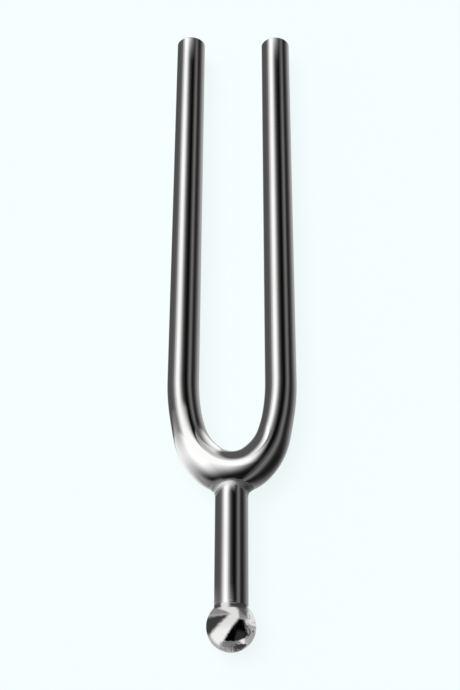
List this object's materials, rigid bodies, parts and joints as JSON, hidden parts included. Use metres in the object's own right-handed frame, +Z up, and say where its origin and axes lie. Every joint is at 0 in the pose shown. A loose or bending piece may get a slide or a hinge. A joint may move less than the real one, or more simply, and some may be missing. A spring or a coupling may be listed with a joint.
{
  "type": "tuning fork",
  "caption": "Round-prong steel tuning fork with a thickened U-shaped yoke, a brazed round stem and a ball end; a struck pitch reference.",
  "frame": {"origin": "on the surface that the fork lies on, under the middle of its length", "axes": "+Y along the fork from the ball to the prong tips, +X from the left prong to the right one, +Z up, square to the plane of the U"},
  "size_m": [0.0244, 0.1328, 0.0086],
  "materials": {
    "prong_bar_plating": "polished bright nickel plate on steel",
    "stem_plating": "polished bright nickel plate on turned steel",
    "ball_plating": "bright nickel plate, scuffed where the ball is set down",
    "braze_plating": "bright nickel plate over a braze fillet, slightly uneven"
  },
  "bodies": {
    "root": {"prong_bar": "prong_bar_plating", "stem": "stem_plating", "ball_end": "ball_plating", "yoke_braze": "braze_plating", "ball_braze": "braze_plating"}
  },
  "joints": []
}
